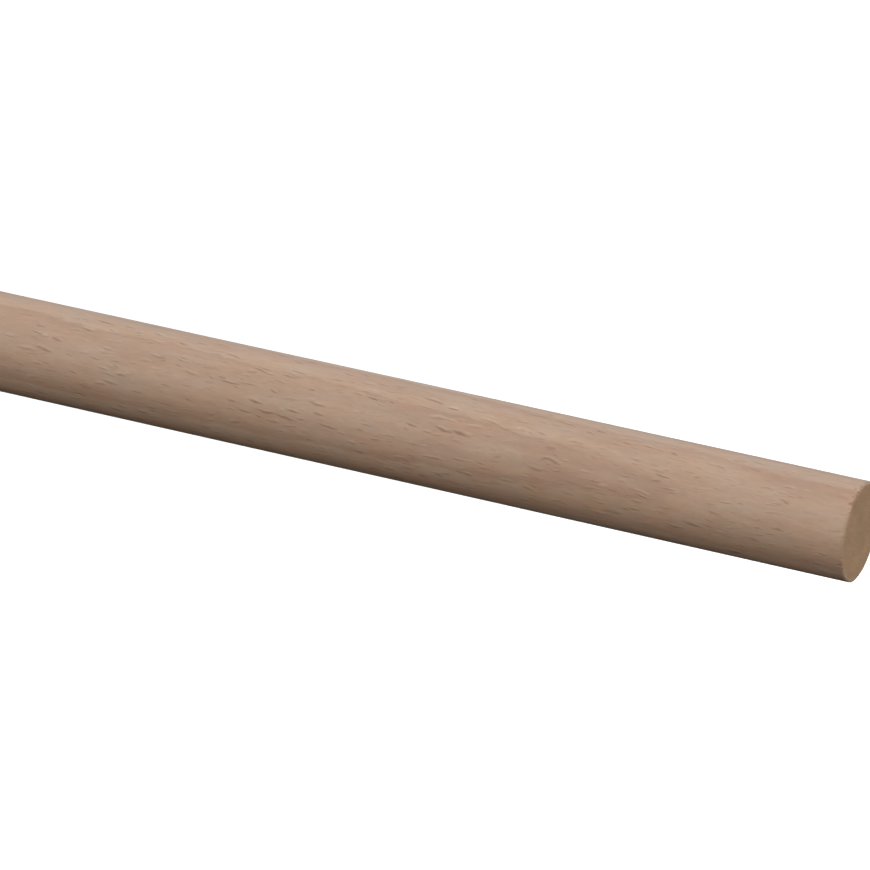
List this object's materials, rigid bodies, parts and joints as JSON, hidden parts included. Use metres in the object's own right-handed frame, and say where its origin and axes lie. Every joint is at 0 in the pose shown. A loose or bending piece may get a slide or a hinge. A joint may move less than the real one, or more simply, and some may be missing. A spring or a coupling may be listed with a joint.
{
  "type": "wooden dowel rod",
  "caption": "Plain round hardwood dowel rod, sawn square at both ends with lightly eased rims, for sockets, clamps, pivots and small turned work.",
  "frame": {"origin": "centre of the sawn foot that the rod stands on", "axes": "+Z along the rod's axis, from the foot to the top end; the rod is round, so X and Y are free"},
  "size_m": [0.02, 0.02, 0.3],
  "materials": {
    "beech": "bare, fine sanded"
  },
  "bodies": {
    "root": {"dowel_rod": "beech"}
  },
  "joints": []
}
